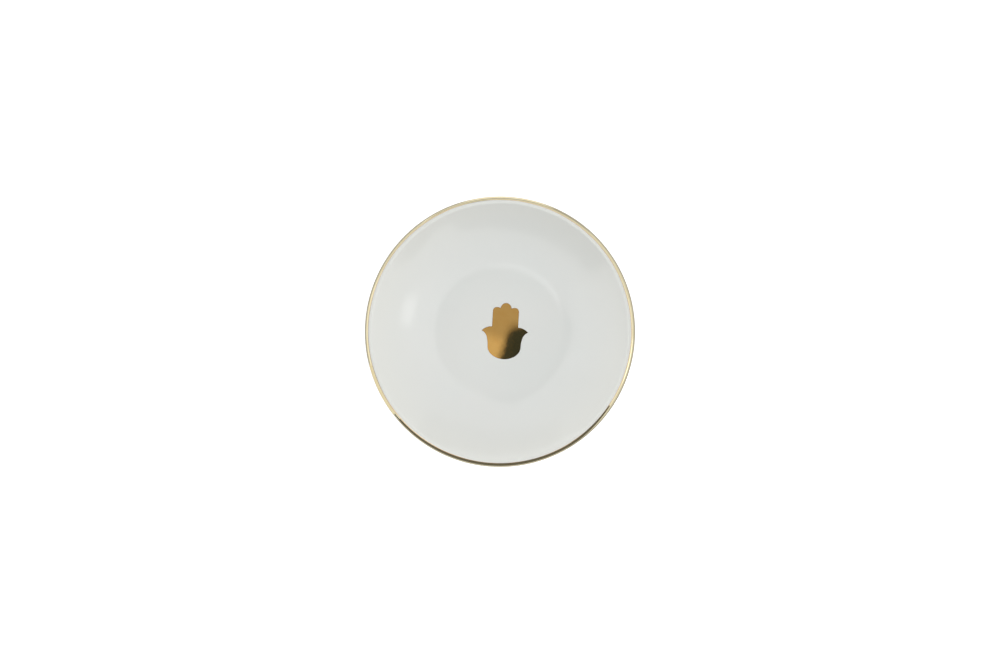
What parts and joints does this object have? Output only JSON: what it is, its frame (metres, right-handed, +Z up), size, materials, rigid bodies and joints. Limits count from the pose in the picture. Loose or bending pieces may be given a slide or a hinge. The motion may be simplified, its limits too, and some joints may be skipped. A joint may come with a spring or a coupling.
{
  "type": "ring dish",
  "caption": "Small round porcelain dish on a foot ring, with flared sides, a gilded lip and a gilded open hand on the well, for rings and other small jewellery.",
  "frame": {"origin": "on the dish's axis, in the plane of the foot ring's tread, which is the table", "axes": "+Z up along the dish's axis; +Y the way the hand's fingers point, give or take its small turn; +X to the right seen from above"},
  "size_m": [0.1016, 0.1016, 0.02],
  "materials": {
    "porcelain": "matte",
    "glaze": "polished",
    "gold": "polished"
  },
  "bodies": {
    "root": {"porcelain_body": "porcelain", "bowl_glaze": "glaze", "recess_glaze": "glaze", "gold_lip_band": "gold", "gold_hand": "gold"}
  },
  "joints": []
}
